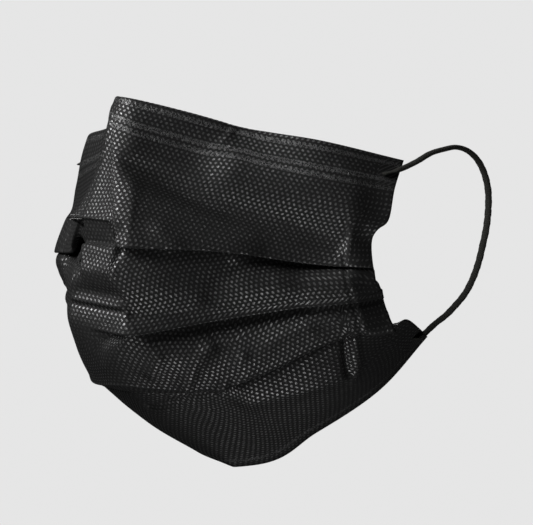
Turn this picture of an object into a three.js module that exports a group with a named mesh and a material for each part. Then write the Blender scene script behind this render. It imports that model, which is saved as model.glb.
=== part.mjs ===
// Pleated surgical mask in its worn form.
// Frame: origin at the seat on the bridge of the nose, the wearer looks along -Y,
// +X is the wearer's left, +Z is up.  Millimetres.
import * as THREE from 'three';

// ---- driving sizes -------------------------------------------------------
const WALL = 1.0;            // cloth wall
const PLY_PITCH = 1.4;       // step from one folded layer to the next
const GAP = 0.3;             // clearance left between separate pieces
const HEM_DEPTH = 11.0;      // top hem turned to the inside over the wire
const HEM_PITCH = 2.6;       // from the front cloth to the turned hem
const WIRE_THICK = 1.0;
const WIRE_WIDE = 4.0;
const WIRE_DROP = 5.5;       // wire centre line below the top edge
const WIRE_COLUMNS = 10;     // columns of cloth the wire reaches on each half
const LINING_IN = 5.8;       // lining centre line behind the front cloth
const LINING_EDGE = 2.5;     // lining stops this far inside the top and bottom edges
const LINING_REACH = 0.955;  // and at this share of the half width
const LOOP_DIAMETER = 2.4;
const LOOP_SIDES = 8;
const COLUMNS = 20;          // columns of cloth facets on each half
const LINING_COLUMNS = 12;
const LINING_ROWS = 12;

// Stations across each half: middle, beside the nose, cheek, jaw, side edge.
const STATIONS = [0, 0.14, 0.42, 0.7, 1];

// Cross lines of the worn form from the top edge down.  Each has the middle
// (y, z) and four more places out to the side edge (x, y, z).
const LINES = [
  {
    name: 'top edge', middle: [-1.5, 0.4], nose: [9, 5.7, -2.3],
    cheek: [26, 24, -9], jaw: [45, 36, -12.7], side: [59.5, 57, -18.7],
  },
  {
    name: 'wire line', middle: [-5.8, -9.5], nose: [9, 2.4, -11.5],
    cheek: [26.5, 21, -16.5], jaw: [46, 34.5, -19.5], side: [61, 50.3, -27],
  },
  {
    name: 'nose', middle: [-10.5, -22], nose: [10, -2, -23.5],
    cheek: [27, 17, -27], jaw: [46.5, 34.2, -29.5], side: [60.8, 47.3, -36.5],
  },
  {
    name: 'nose tip', middle: [-16, -33], nose: [11, -9, -34],
    cheek: [28, 12, -37], jaw: [47, 32, -39], side: [59.3, 42, -40.5],
  },
  {
    name: 'fold 1', middle: [-17, -43], nose: [12, -11, -43.5],
    cheek: [29, 9, -45], jaw: [46, 29, -48.7], side: [61.2, 39.5, -49.8],
  },
  {
    name: 'upper lip', middle: [-17.5, -53], nose: [12, -11.5, -54],
    cheek: [28.5, 10, -54.5], jaw: [47, 28, -55.3], side: [61.3, 41.5, -55.5],
  },
  {
    name: 'mouth crease', middle: [-15.5, -61], nose: [12, -9.5, -63],
    cheek: [29.5, 10.5, -61.6], jaw: [47, 28.5, -60], side: [61.8, 44, -58.4],
  },
  {
    name: 'fold 2', middle: [-15.5, -68], nose: [12, -9.5, -69],
    cheek: [28, 11.6, -64.8], jaw: [47, 29, -61.3], side: [62, 44.8, -59.6],
  },
  {
    name: 'lower lip', middle: [-12, -75], nose: [13, -5, -76.5],
    cheek: [30, 13.3, -74], jaw: [48, 32, -68], side: [62.5, 46.5, -65.5],
  },
  {
    name: 'fold 3', middle: [-4, -83.8], nose: [13, 4, -85],
    cheek: [27.5, 22, -83.2], jaw: [46, 37, -73], side: [61, 51, -69],
  },
  {
    name: 'chin front', middle: [9, -92], nose: [12, 15, -90.5],
    cheek: [28, 28, -88.5], jaw: [44, 44, -80], side: [58.5, 60, -66.5],
  },
  {
    name: 'under chin', middle: [26, -101.5], nose: [12, 32, -101.5],
    cheek: [28, 44, -97], jaw: [43.5, 57, -86], side: [55, 71, -69.8],
  },
  {
    name: 'bottom edge', middle: [41, -110.5], nose: [10, 49, -111.5],
    cheek: [27, 57, -101.5], jaw: [42, 68, -89], side: [50, 82, -73.2],
  },
];

// Pleats.  line: the fold's cross line.  lap: how far the closed pleat runs up
// under itself at the middle and at the side.  open: height of the middle ply
// where the pleat stands open, between shares 'from' and 'to' across the width
// (wearer's right negative), with soft ends 'ease'.  lift: share of that height
// taken above the fold line.  lip: how far the fold stands out, and 'flat' how
// much of it goes where the pleat is open.  pocket: extra depth behind the fold
// at the middle and at the side.
const PLEATS = [
  {
    line: 4, lap: [5, 9], open: 7.5, from: -0.36, to: 0.09, ease: 0.06,
    lift: 1, lip: [1.5, 0.6], flat: 0, pocket: [2.5, 0.2],
  },
  {
    line: 7, lap: [6, 9], open: 4, from: -0.85, to: -0.08, ease: 0.14,
    lift: 0, lip: [2.2, 0.6], flat: 1, pocket: [3, 0.2],
  },
  {
    line: 9, lap: [5, 9], open: 7, from: -0.52, to: 0.36, ease: 0.14,
    lift: 0, lip: [1, 0.6], flat: 0, pocket: [1.5, 0.2],
  },
];
const PANEL_ROWS = [6, 3, 3, 5];   // facet rows in each panel above its lap
const RISE = 11.0;                 // longest way a panel takes to come back out
const LAP_FILL = 0.6;              // share of the pocket kept by the panel over it

// Left ear loop: welded on the front at two places (share across, distance from
// the top or bottom edge), free between them along a route behind the ear.
const UPPER_WELD = [[0.94, 7.0], [0.985, 5.0]];
const LOWER_WELD = [[0.985, 9.0], [0.96, 12.0]];
const LOOP_ROUTE = [
  [62.4, 59.0, -19.4], [63.8, 64.8, -16.9], [64.9, 69.6, -15.9], [65.6, 74.8, -15.4],
  [66.2, 80.3, -16.7], [66.6, 84.5, -19.4], [66.8, 87.8, -23.5], [66.9, 89.7, -28.6],
  [66.7, 90.1, -34.6], [66.2, 89.7, -40.6], [65.4, 89.0, -45.6], [64.6, 88.2, -50.3],
  [63.4, 86.9, -55.3], [61.8, 84.9, -60.0], [59.8, 82.9, -63.4], [57.6, 81.0, -66.4],
  [55.8, 78.6, -68.6],
];

// ---- smooth curves -------------------------------------------------------
// Value of a smooth curve through (at[i], values[i]) at x.
function smoothThrough(at, values, x, sharp = []) {
  const last = at.length - 1;
  let i = 0;
  while (i < last - 1 && x > at[i + 1]) i += 1;
  const slope = (k) => (values[k + 1] - values[k]) / (at[k + 1] - at[k]);
  const tangent = (k, side) => {
    if (sharp.includes(k) || k === 0 || k === last) return slope(side);
    const before = at[k] - at[k - 1];
    const after = at[k + 1] - at[k];
    return (after * slope(k - 1) + before * slope(k)) / (before + after);
  };
  const h = at[i + 1] - at[i];
  const s = (x - at[i]) / h;
  const a = tangent(i, i) * h;
  const b = tangent(i + 1, i) * h;
  const s2 = s * s;
  const s3 = s2 * s;
  return (2 * s3 - 3 * s2 + 1) * values[i] + (s3 - 2 * s2 + s) * a
    + (3 * s2 - 2 * s3) * values[i + 1] + (s3 - s2) * b;
}

function smoothStep(x) {
  const s = Math.min(1, Math.max(0, x));
  return s * s * (3 - 2 * s);
}

function mix(a, b, share) {
  return a + (b - a) * share;
}

// ---- worn form before pleating -------------------------------------------
const STATIONS_BOTH = [...STATIONS.slice(1).reverse().map((s) => -s), ...STATIONS];

function linePoint(line, across) {
  const half = [[0, ...line.middle], line.nose, line.cheek, line.jaw, line.side];
  const mirrored = half.slice(1).reverse().map(([x, y, z]) => [-x, y, z]);
  const all = [...mirrored, ...half];
  return [0, 1, 2].map((axis) => smoothThrough(STATIONS_BOTH, all.map((p) => p[axis]), across));
}

const LINE_INDEX = LINES.map((line, i) => i);
const CREASES = [6];

// Point of the smooth form at a share across and a place down the lines.
function formPoint(across, down) {
  const points = LINES.map((line) => linePoint(line, across));
  return new THREE.Vector3(...[0, 1, 2].map(
    (axis) => smoothThrough(LINE_INDEX, points.map((p) => p[axis]), down, CREASES),
  ));
}

function formNormal(across, down) {
  const step = 0.02;
  const left = formPoint(Math.max(-1, across - step), down);
  const right = formPoint(Math.min(1, across + step), down);
  const above = formPoint(across, Math.max(0, down - step));
  const below = formPoint(across, Math.min(LINES.length - 1, down + step));
  const acrossWay = right.sub(left);
  const downWay = below.sub(above);
  return downWay.cross(acrossWay).normalize();
}

// One column of the form: turns (distance down, distance out) into a point.
function column(across) {
  const fine = 8;
  const places = [];
  const lengths = [];
  let total = 0;
  let previous = null;
  for (let i = 0; i <= (LINES.length - 1) * fine; i += 1) {
    const point = formPoint(across, i / fine);
    if (previous) total += point.distanceTo(previous);
    places.push(i / fine);
    lengths.push(total);
    previous = point;
  }
  const normals = places.map((down) => formNormal(across, down));
  const points = places.map((down) => formPoint(across, down));
  const find = (distance) => {
    let i = 0;
    while (i < lengths.length - 2 && distance > lengths[i + 1]) i += 1;
    return [i, (distance - lengths[i]) / (lengths[i + 1] - lengths[i])];
  };
  return {
    length: total,
    lineAt: (line) => lengths[line * fine],
    place: ([distance, out]) => {
      const [i, share] = find(distance);
      const normal = normals[i].clone().lerp(normals[i + 1], Math.min(1, Math.max(0, share))).normalize();
      return points[i].clone().lerp(points[i + 1], share).addScaledVector(normal, out);
    },
  };
}

// ---- folded path of the cloth down one column ----------------------------
function pleatAt(pleat, across, col) {
  const enter = smoothStep((across - pleat.from) / pleat.ease + 0.5);
  const leave = smoothStep((pleat.to - across) / pleat.ease + 0.5);
  const open = enter * leave;
  const side = Math.abs(across);
  const lap = mix(pleat.lap[0], pleat.lap[1], side);
  const lip = mix(pleat.lip[0], pleat.lip[1], smoothStep(side)) * (1 - open * pleat.flat);
  const pocket = mix(pleat.pocket[0], pleat.pocket[1], smoothStep(side)) * (1 - open * pleat.flat);
  const fold = col.lineAt(pleat.line) - pleat.open * pleat.lift * open;
  const tuck = fold + mix(-lap, pleat.open, open);
  const turn = PLY_PITCH * (1 - open);
  const tuckOut = lip - turn - pocket;
  return { open, fold, lip, pocket, tuck, tuckOut, turn, slide: PLY_PITCH * open };
}

function clothPath(across, col) {
  const pleats = PLEATS.map((pleat) => pleatAt(pleat, across, col));
  const path = [
    [HEM_DEPTH, -HEM_PITCH],
    [HEM_DEPTH / 2, -HEM_PITCH],
    [WALL / 2, -HEM_PITCH],
    [WALL / 2, 0],
  ];
  let start = WALL / 2;
  let startOut = 0;
  let riseFrom = start;
  PANEL_ROWS.forEach((rows, panel) => {
    const pleat = pleats[panel];
    if (!pleat) {
      for (let i = 1; i <= rows; i += 1) {
        const distance = mix(start, col.length, i / rows);
        path.push([distance, startOut * (1 - smoothStep((distance - riseFrom) / RISE))]);
      }
      return;
    }
    const lapStart = Math.min(pleat.fold - PLY_PITCH, pleat.tuck);
    const lapOut = pleat.lip - pleat.pocket * LAP_FILL;
    const riseWay = Math.min(RISE, Math.max(PLY_PITCH, lapStart - riseFrom));
    for (let i = 1; i <= rows; i += 1) {
      const distance = mix(start, lapStart, i / rows);
      const swell = smoothStep((distance - riseFrom) / (lapStart - riseFrom));
      const sunk = 1 - smoothStep((distance - riseFrom) / riseWay);
      path.push([distance, startOut * sunk + lapOut * swell]);
    }
    path.push([mix(lapStart, pleat.fold, 0.5), mix(lapOut, pleat.lip, 0.5)]);
    path.push([pleat.fold, pleat.lip]);
    const under = [pleat.fold + pleat.slide, pleat.lip - pleat.turn];
    const tuck = [pleat.tuck, pleat.tuckOut];
    path.push(under, [mix(under[0], tuck[0], 0.5), mix(under[1], tuck[1], 0.5)], tuck);
    start = pleat.tuck + pleat.slide;
    startOut = pleat.tuckOut - pleat.turn;
    path.push([start, startOut]);
    riseFrom = Math.max(start, pleat.fold);
  });
  return path;
}

// Path moved sideways by a distance, corners mitred.
function offsetPath(path, distance) {
  return path.map((knot, i) => {
    const before = path[Math.max(0, i - 1)];
    const after = path[Math.min(path.length - 1, i + 1)];
    const into = new THREE.Vector2(knot[0] - before[0], knot[1] - before[1]).normalize();
    const away = new THREE.Vector2(after[0] - knot[0], after[1] - knot[1]).normalize();
    if (i === 0) into.copy(away);
    if (i === path.length - 1) away.copy(into);
    const side = new THREE.Vector2(-into.y - away.y, into.x + away.x).normalize();
    const half = Math.max(0.7, side.dot(new THREE.Vector2(-into.y, into.x)));
    return [knot[0] + (side.x * distance) / half, knot[1] + (side.y * distance) / half];
  });
}

// ---- closed shell from a front grid and a back grid ----------------------
function shellGeometry(front, back) {
  const rows = front[0].length;
  const positions = [];
  [...front, ...back].forEach((line) => line.forEach((p) => positions.push(p.x, p.y, p.z)));
  const index = [];
  const at = (face, c, r) => (face * front.length + c) * rows + r;
  const quad = (a, b, c, d) => index.push(a, b, c, a, c, d);
  for (let c = 0; c < front.length - 1; c += 1) {
    for (let r = 0; r < rows - 1; r += 1) {
      quad(at(0, c, r), at(0, c, r + 1), at(0, c + 1, r + 1), at(0, c + 1, r));
      quad(at(1, c, r), at(1, c + 1, r), at(1, c + 1, r + 1), at(1, c, r + 1));
    }
    quad(at(0, c, 0), at(0, c + 1, 0), at(1, c + 1, 0), at(1, c, 0));
    quad(at(0, c + 1, rows - 1), at(0, c, rows - 1), at(1, c, rows - 1), at(1, c + 1, rows - 1));
  }
  const end = front.length - 1;
  for (let r = 0; r < rows - 1; r += 1) {
    quad(at(0, 0, r + 1), at(0, 0, r), at(1, 0, r), at(1, 0, r + 1));
    quad(at(0, end, r), at(0, end, r + 1), at(1, end, r + 1), at(1, end, r));
  }
  const geometry = new THREE.BufferGeometry();
  geometry.setAttribute('position', new THREE.Float32BufferAttribute(positions, 3));
  geometry.setIndex(index);
  geometry.computeVertexNormals();
  return geometry;
}

function outerPly() {
  const front = [];
  const back = [];
  for (let i = -COLUMNS; i <= COLUMNS; i += 1) {
    const across = i / COLUMNS;
    const col = column(across);
    const path = clothPath(across, col);
    front.push(offsetPath(path, WALL / 2).map(col.place));
    back.push(offsetPath(path, -WALL / 2).map(col.place));
  }
  return shellGeometry(front, back);
}

function innerPly() {
  const front = [];
  const back = [];
  for (let i = -LINING_COLUMNS; i <= LINING_COLUMNS; i += 1) {
    const across = (i / LINING_COLUMNS) * LINING_REACH;
    const col = column(across);
    const line = (out) => {
      const points = [];
      for (let r = 0; r <= LINING_ROWS; r += 1) {
        const distance = mix(LINING_EDGE, col.length - LINING_EDGE, r / LINING_ROWS);
        points.push(col.place([distance, out]));
      }
      return points;
    };
    front.push(line(-LINING_IN + WALL / 2));
    back.push(line(-LINING_IN - WALL / 2));
  }
  return shellGeometry(front, back);
}

function noseWire() {
  const front = [];
  const back = [];
  for (let i = -WIRE_COLUMNS; i <= WIRE_COLUMNS; i += 1) {
    const col = column(i / COLUMNS);
    const line = (out) => [-0.5, 0.5].map((share) => col.place([WIRE_DROP + share * WIRE_WIDE, out]));
    const middle = -HEM_PITCH / 2;
    front.push(line(middle + WIRE_THICK / 2));
    back.push(line(middle - WIRE_THICK / 2));
  }
  return shellGeometry(front, back);
}

function weldPoints(welds, fromBottom) {
  const out = WALL / 2 + 2 * GAP + LOOP_DIAMETER / 2;
  return welds.map(([across, distance]) => {
    const col = column(across);
    return col.place([fromBottom ? col.length - distance : distance, out]);
  });
}

function earLoop(side) {
  const route = [
    ...weldPoints(UPPER_WELD, false),
    ...LOOP_ROUTE.map((point) => new THREE.Vector3(...point)),
    ...weldPoints(LOWER_WELD, true),
  ];
  route.forEach((point) => { point.x *= side; });
  const circle = new THREE.Shape();
  for (let i = 0; i <= LOOP_SIDES; i += 1) {
    const angle = (i / LOOP_SIDES) * 2 * Math.PI;
    const x = (LOOP_DIAMETER / 2) * Math.cos(angle);
    const y = (LOOP_DIAMETER / 2) * Math.sin(angle);
    if (i === 0) circle.moveTo(x, y);
    else circle.lineTo(x, y);
  }
  return new THREE.ExtrudeGeometry(circle, {
    steps: 40,
    curveSegments: 1,
    bevelEnabled: false,
    extrudePath: new THREE.CatmullRomCurve3(route),
  });
}

// ---- assembly ------------------------------------------------------------
const group = new THREE.Group();
function add(name, geometry, colour, roughness, metalness) {
  const material = new THREE.MeshStandardMaterial({ color: colour, roughness, metalness });
  const mesh = new THREE.Mesh(geometry, material);
  mesh.name = name;
  group.add(mesh);
}

add('outer_ply', outerPly(), 0x242426, 0.72, 0);
add('inner_ply', innerPly(), 0xc9c8c6, 0.85, 0);
add('nose_wire', noseWire(), 0xb4b6b8, 0.4, 0.6);
add('ear_loop_left', earLoop(1), 0x1b1b1a, 0.85, 0);
add('ear_loop_right', earLoop(-1), 0x1b1b1a, 0.85, 0);

export default group;
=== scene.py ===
"""Pleated surgical mask in its worn form, laid out as a Blender add-on.

Millimetres in the tables, metres in Blender.  The wearer looks along -Y, +X is
the wearer's left and the origin is the seat on the bridge of the nose.
"""

import math

import bpy
import numpy as np
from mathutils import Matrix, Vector


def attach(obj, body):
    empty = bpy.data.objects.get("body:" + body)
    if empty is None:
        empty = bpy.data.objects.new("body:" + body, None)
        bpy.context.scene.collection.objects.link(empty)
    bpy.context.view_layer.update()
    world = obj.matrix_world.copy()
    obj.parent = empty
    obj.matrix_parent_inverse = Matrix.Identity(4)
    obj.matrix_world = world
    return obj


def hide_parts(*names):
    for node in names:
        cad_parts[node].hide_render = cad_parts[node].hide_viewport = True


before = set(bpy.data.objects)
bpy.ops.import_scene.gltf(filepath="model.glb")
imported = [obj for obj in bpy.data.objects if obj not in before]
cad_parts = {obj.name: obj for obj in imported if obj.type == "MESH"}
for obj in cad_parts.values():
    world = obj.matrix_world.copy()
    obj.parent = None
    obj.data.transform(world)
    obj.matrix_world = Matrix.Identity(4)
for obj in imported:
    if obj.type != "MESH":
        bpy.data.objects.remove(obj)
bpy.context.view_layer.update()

bl_info = {
    "name": "Pleated Surgical Mask",
    "version": (1, 0, 0),
    "blender": (4, 5, 0),
    "location": "3D View > Sidebar > Mask",
    "description": "Builds a worn pleated face mask: cloth, lining, nose strip and ear loops",
    "category": "Object",
}

BODY = "root"
MM = 0.001

# ---- form of the worn mask ---------------------------------------------------------
# Shares of the half width at which every cross line is given, middle to side.
STATIONS = (0, 0.14, 0.42, 0.7, 1)

# Cross lines of the worn form from the top edge down, in millimetres.
# Columns: name, middle (y, z), then beside the nose, cheek, jaw, side (x, y, z).
LINES = (
    ("top edge", (-1.5, 0.4), (9, 5.7, -2.3), (26, 24, -9), (45, 36, -12.7), (59.5, 57, -18.7)),
    ("wire line", (-5.8, -9.5), (9, 2.4, -11.5), (26.5, 21, -16.5), (46, 34.5, -19.5), (61, 50.3, -27)),
    ("nose", (-10.5, -22), (10, -2, -23.5), (27, 17, -27), (46.5, 34.2, -29.5), (60.8, 47.3, -36.5)),
    ("nose tip", (-16, -33), (11, -9, -34), (28, 12, -37), (47, 32, -39), (59.3, 42, -40.5)),
    ("fold 1", (-17, -43), (12, -11, -43.5), (29, 9, -45), (46, 29, -48.7), (61.2, 39.5, -49.8)),
    ("upper lip", (-17.5, -53), (12, -10.5, -54), (28.5, 10, -54.5), (47, 28, -55.3), (61.3, 41.5, -55.5)),
    ("mouth crease", (-15.5, -61), (12, -9.5, -63), (29.5, 10.5, -61.6), (47, 28.5, -60), (61.8, 44, -58.4)),
    ("fold 2", (-15.5, -68), (12, -9.5, -69), (28, 11.6, -64.8), (47, 29, -61.3), (62, 44.8, -59.6)),
    ("lower lip", (-9, -75.2), (12.6, -4, -76.5), (30, 13.3, -74), (48, 32, -68), (62.5, 46.5, -65.5)),
    ("fold 3", (-2, -84), (13, 4, -85), (30, 18.9, -83), (48.5, 33.9, -72.8), (61, 51, -69)),
    ("chin front", (10.6, -92), (12.8, 14, -90.4), (30.2, 25, -88.4), (48, 40.2, -79.8), (59, 59.4, -66.5)),
    ("under chin", (26, -101.5), (12.5, 31.4, -101.4), (29, 41, -97), (46.6, 51.5, -85.6), (56, 69.7, -69.7)),
    ("bottom edge", (41, -111), (10, 49, -112), (28.5, 55.1, -101.5), (44, 65.4, -88.8), (50, 82, -73.2)),
)

# Flat strip that the cloth makes over the nose and mouth, between a flattened ridge on
# the wearer's left and a crisp one on the right at the first station.
# Columns: cross line, crispness, cut taken off the left ridge on each side, corner of
# the left ridge (x, y, z), right ridge (x, y, z).
RIDGE_ENDS = (0.03, 0.095)      # shares at which the flat of the left ridge starts and ends
NOSE_STRIP = (
    (0, 0.3, 3, (0.3, -1.4, 0.4), (-6.5, 3.1, 0.3)),
    (1, 0.3, 3.2, (2.7, -5.4, -9.8), (-4.2, -4.4, -9.4)),
    (2, 0.3, 3.2, (5, -8.7, -22), (-7.9, -6.0, -22)),
    (3, 0.3, 3, (8.4, -12.8, -33.2), (-13.2, -8.5, -33.4)),
    (4, 0.4, 2, (8.9, -14.2, -43.2), (-16.2, -8.6, -42.6)),
    (5, 0.4, 1.6, (7.4, -14.4, -52.6), (-12, -11.2, -52)),
    (6, 0.3, 1.8, (9.6, -12, -62), (-12.6, -9.8, -60)),
    (7, 0.3, 1.8, (9.8, -11.8, -69.2), (-12.6, -9.8, -67)),
    (12, 0, 1.5, (4.8, 44.8, -112.7), (-10, 46.5, -109.4)),
)
SHARP_LINES = (6,)      # the form has a crease along these lines
FINE = 20               # steps worked out between two cross lines

# Pleats.  line: cross line of the fold.  lift: share of the opening taken above
# the fold line.  The other entries are profiles across the mask, rows of (share
# across, value) eased from row to row, the wearer's right negative.  open: 0
# where the pleat lies closed, 1 where it stands open.  lap: how far the closed
# pleat runs up under itself.  lip: how far the fold stands out.  step: how far the
# cloth steps in just under an open fold.  pocket: further depth down to the tuck.
# ledge: how far the next panel steps out again at an open tuck.
PLEATS = (
    dict(line=4, lift=1, opening=7.5,
         open=((-0.5, 0), (-0.38, 1), (0.022, 1), (0.036, 0)),
         lap=((-1, 9), (0, 5), (1, 9)),
         lip=((-1, 0.6), (-0.5, 0.3), (-0.22, 0.3), (-0.1, 1.0), (0.3, 1.6), (1, 0.6)),
         step=((-1, 1), (-0.4, 1.5), (-0.3, 6), (-0.1, 6), (-0.078, 0.7), (0.05, 0.9)),
         pocket=((-1, 0.2), (-0.6, 2.5), (-0.34, 4), (-0.1, 4), (-0.078, 2), (0.02, 2), (0.05, 0.8),
                 (0.5, 1.2), (1, 0.2)),
         ledge=((-0.12, 0), (-0.07, 2.2), (0.03, 2.2))),
    dict(line=7, lift=0, opening=4,
         open=((-0.92, 0), (-0.76, 1), (-0.06, 1), (0.07, 0)),
         lap=((-1, 9), (0, 6), (1, 9)),
         lip=((-1, 0.6), (-0.76, 0), (-0.08, 0), (0.08, 0.8), (0.32, 1.4), (0.55, 1.4), (0.88, 0.8),
              (1, 0.6)),
         step=((-0.08, 0), (-0.03, 0.9), (0.05, 1.2)),
         pocket=((-1, 0.2), (-0.76, 0), (-0.08, 0), (0.08, 1), (0.32, 1.4), (0.55, 1.4), (0.88, 0.3),
                 (1, 0.2)),
         ledge=((-1, 0), (1, 0))),
    dict(line=9, lift=0, opening=7,
         open=((-0.6, 0), (-0.44, 1), (0.28, 1), (0.44, 0)),
         lap=((-1, 9), (0, 5), (1, 9)),
         lip=((-1, 0.6), (-0.4, 1), (0.2, 1.4), (0.4, 2.2), (0.65, 2), (0.86, 0.9), (1, 0.6)),
         step=((-0.4, 0.2), (-0.2, 0.7), (0.2, 0.7), (0.4, 0.9)),
         pocket=((-1, 0.2), (-0.4, 1.2), (0.2, 1.8), (0.4, 3), (0.65, 2.6), (0.86, 0.5), (1, 0.2)),
         ledge=((-0.4, 0), (-0.2, 0.4), (0.3, 0.4))),
)
SLIDE = 0.4                 # way down that an open fold or tuck takes to step in or out
# Panels between the pleats.  Columns: knots down the panel, knots after its crease,
# cross line of the crease.
PANELS = ((11, 0, None), (4, 3, 6), (6, 0, None), (10, 0, None))
CREASE_KNOTS = (-1.4, -0.6, 0, 0.6)  # knots beside a crease, from the crease
CREASE_GAP = 0.8            # from the knots above a crease to the first of them
CREASE_ROOM = 2             # least way from a crease to the end of its panel
PLY_PITCH = ((0, 1.2), (1, 0.95))    # step between folded layers, by share across
UNDER_SHARES = (0.3, 0.7)   # knots on the cloth that runs under a fold, on its way to the tuck
RISE = 11.0                 # longest way a panel takes to come back out
LAP_FILL = 0.6              # share of the pocket kept by the panel over it
NEAR_FOLD = 0.8             # last knot before a fold keeps the fold crisp
NEAR_FOLD_SHARE = 0.6       # the same on a short lap, as a share of it
FOLD_ROUNDS = 2             # times that the corners of the folded path are cut
CORNER_CUT = 0.25           # share of a path's step that one cut takes at each end
LEAST_MITRE = 0.7           # keeps a path moved sideways from running out at its corners
LEAST_DOWN = 0.5            # least share of a step along the cloth that counts as down
TINY = 1e-9                 # keeps a step of no length from being divided by

# Top hem, turned to the inside over the nose strip and welded down at its edge.
HEM_DEPTH = 11.0
PANEL_TOP = 1.2             # first knot of the front cloth below the turn
HEM_WELD = 0.8              # from the front cloth to the welded edge of the hem
HEM_WELD_WIDTH = 2.4
HEM_OVER_STRIP = ((0, 1.9), (0.42, 1.9), (0.5, 0.8), (1, 0.8))    # room for the strip, by share across
# Hem from its weld up and over the top.  Columns: distance down, share of the room behind.
HEM_KNOTS = ((7.4, 1), (3.4, 1), (1.2, 1), (0.25, 0.85), (0.25, 0.15), (PANEL_TOP, 0))
HEM_TOP_KNOT = 5            # knot of the hem at the top edge

# Columns of cloth.  Columns: share across from, share across to, number.
COLUMN_SPANS = ((-1, -0.45, 34), (-0.45, -0.14, 32), (-0.14, 0.06, 34), (0.06, 0.2, 16), (0.2, 1, 80))
HALF_FLAT = 87.5            # half width of the flat cloth

# Lining, a second sheet behind the cloth.
# From the middle of the cloth to the middle of the lining, by share across: deeper
# beside the nose, where the open fold runs steeply across.
LINING_BEHIND = ((-0.38, 0.36), (-0.26, 0.5), (-0.2, 0.8), (-0.1, 0.8), (-0.02, 0.5), (0.09, 0.5),
                 (0.16, 0.36), (0.3, 0.36), (0.38, 0.58), (0.8, 0.58), (0.9, 0.36))
LINING_TOP = 8.2            # starts this far down, under the hem
LINING_BOTTOM = 2.5         # ends this far above the bottom edge
LINING_REACH = 0.975        # ends at this share of the half width

# Nose strip: soft plastic over two wires.
STRIP_DROP = 5.5            # middle of the strip below the top edge
STRIP_BEHIND = 1.0
STRIP_REACH = 0.4           # share of the half width that it reaches on each side
STRIP_COLUMNS = 160
STRIP_POINTS = 25           # across one face of its section
STRIP_WEB = 0.45            # thickness of the web between its wires, as a share of the whole
WIRE_PLACE = 0.6            # of the half width
WIRE_SPREAD = 0.22          # of the half width
STRIP_ROUNDING = 8          # the higher, the squarer its edges

# Left ear loop, welded on the front near both corners: share across, distance
# from the top or bottom edge.
UPPER_WELD = ((0.94, 7.0), (0.985, 5.0))
LOWER_WELD = ((0.985, 9.0), (0.96, 12.0))
LOOP_ROUTE = (
    (62.4, 59.0, -19.4), (63.8, 64.8, -16.9), (64.9, 69.6, -15.9), (65.6, 74.8, -15.4),
    (66.2, 80.3, -16.7), (66.6, 84.5, -19.4), (66.8, 87.8, -23.5), (66.9, 89.7, -28.6),
    (66.7, 90.1, -34.6), (66.2, 89.7, -40.6), (65.4, 89.0, -45.6), (64.6, 88.2, -50.3),
    (63.4, 86.9, -55.3), (61.8, 84.9, -60.0), (59.8, 82.9, -63.4), (57.6, 81.0, -66.4),
    (55.8, 78.6, -68.6),
)
LOOP_SIDES = 20
LOOP_RINGS = 360
KNIT_AROUND = 3             # width of the knit's pattern over half the loop's girth
# Middle of a welded end out from the cloth's middle: share of the thickness, and added to it.
LOOP_REST = (0.3, 0.3)
# Flattened ends: length, length over which they ease out, how much wider, how much thinner.
PRESSED_ENDS = (3.5, 2.5, 0.25, 0.55)
# Uneven width.  Columns: share of the width, turn for each millimetre, then for the slow
# ripple how far it wanders and the turn of that.
SLOW_RIPPLE = (0.05, 1.9, 0.7, 0.43)
FINE_RIPPLE = (0.03, 4.7)

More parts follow.
